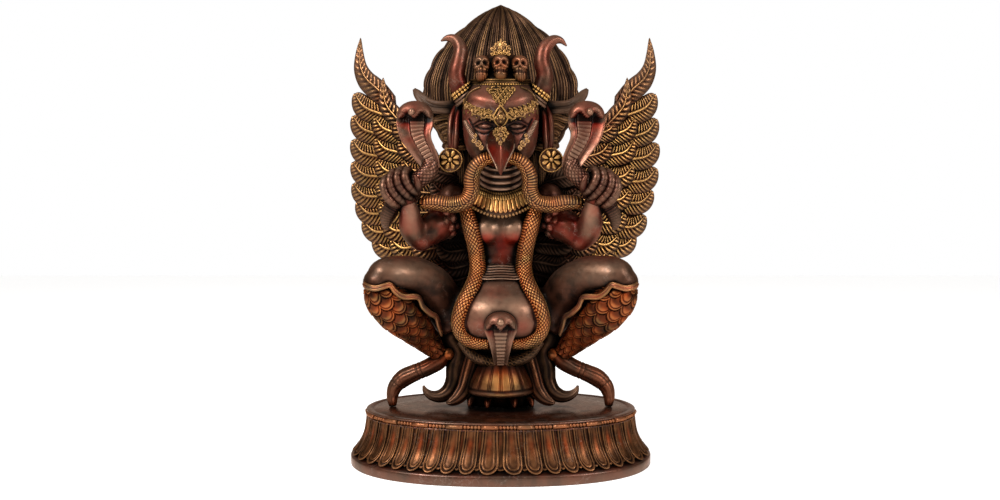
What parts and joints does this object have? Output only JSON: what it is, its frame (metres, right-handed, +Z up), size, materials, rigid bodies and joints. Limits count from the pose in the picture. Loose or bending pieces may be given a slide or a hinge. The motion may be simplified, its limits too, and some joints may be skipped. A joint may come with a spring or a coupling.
{
  "type": "garuda figure",
  "caption": "Horned, winged bird-headed garuda that squats on an oval lotus plinth, holding serpents; cast metal with dark patina.",
  "frame": {"origin": "middle of the plinth's underside", "axes": "+Z up, the figure faces -Y, +X to its left hand"},
  "size_m": [0.253, 0.139, 0.3445],
  "materials": {
    "plinth_metal": "cast bronze with a dark red-brown patina, worn brighter on its edges",
    "figure_metal": "cast bronze with a dark red-brown patina, red on the skin and gilt wear on feathers and serpents"
  },
  "bodies": {
    "root": {"plinth": "plinth_metal", "garuda_figure": "figure_metal"}
  },
  "joints": []
}
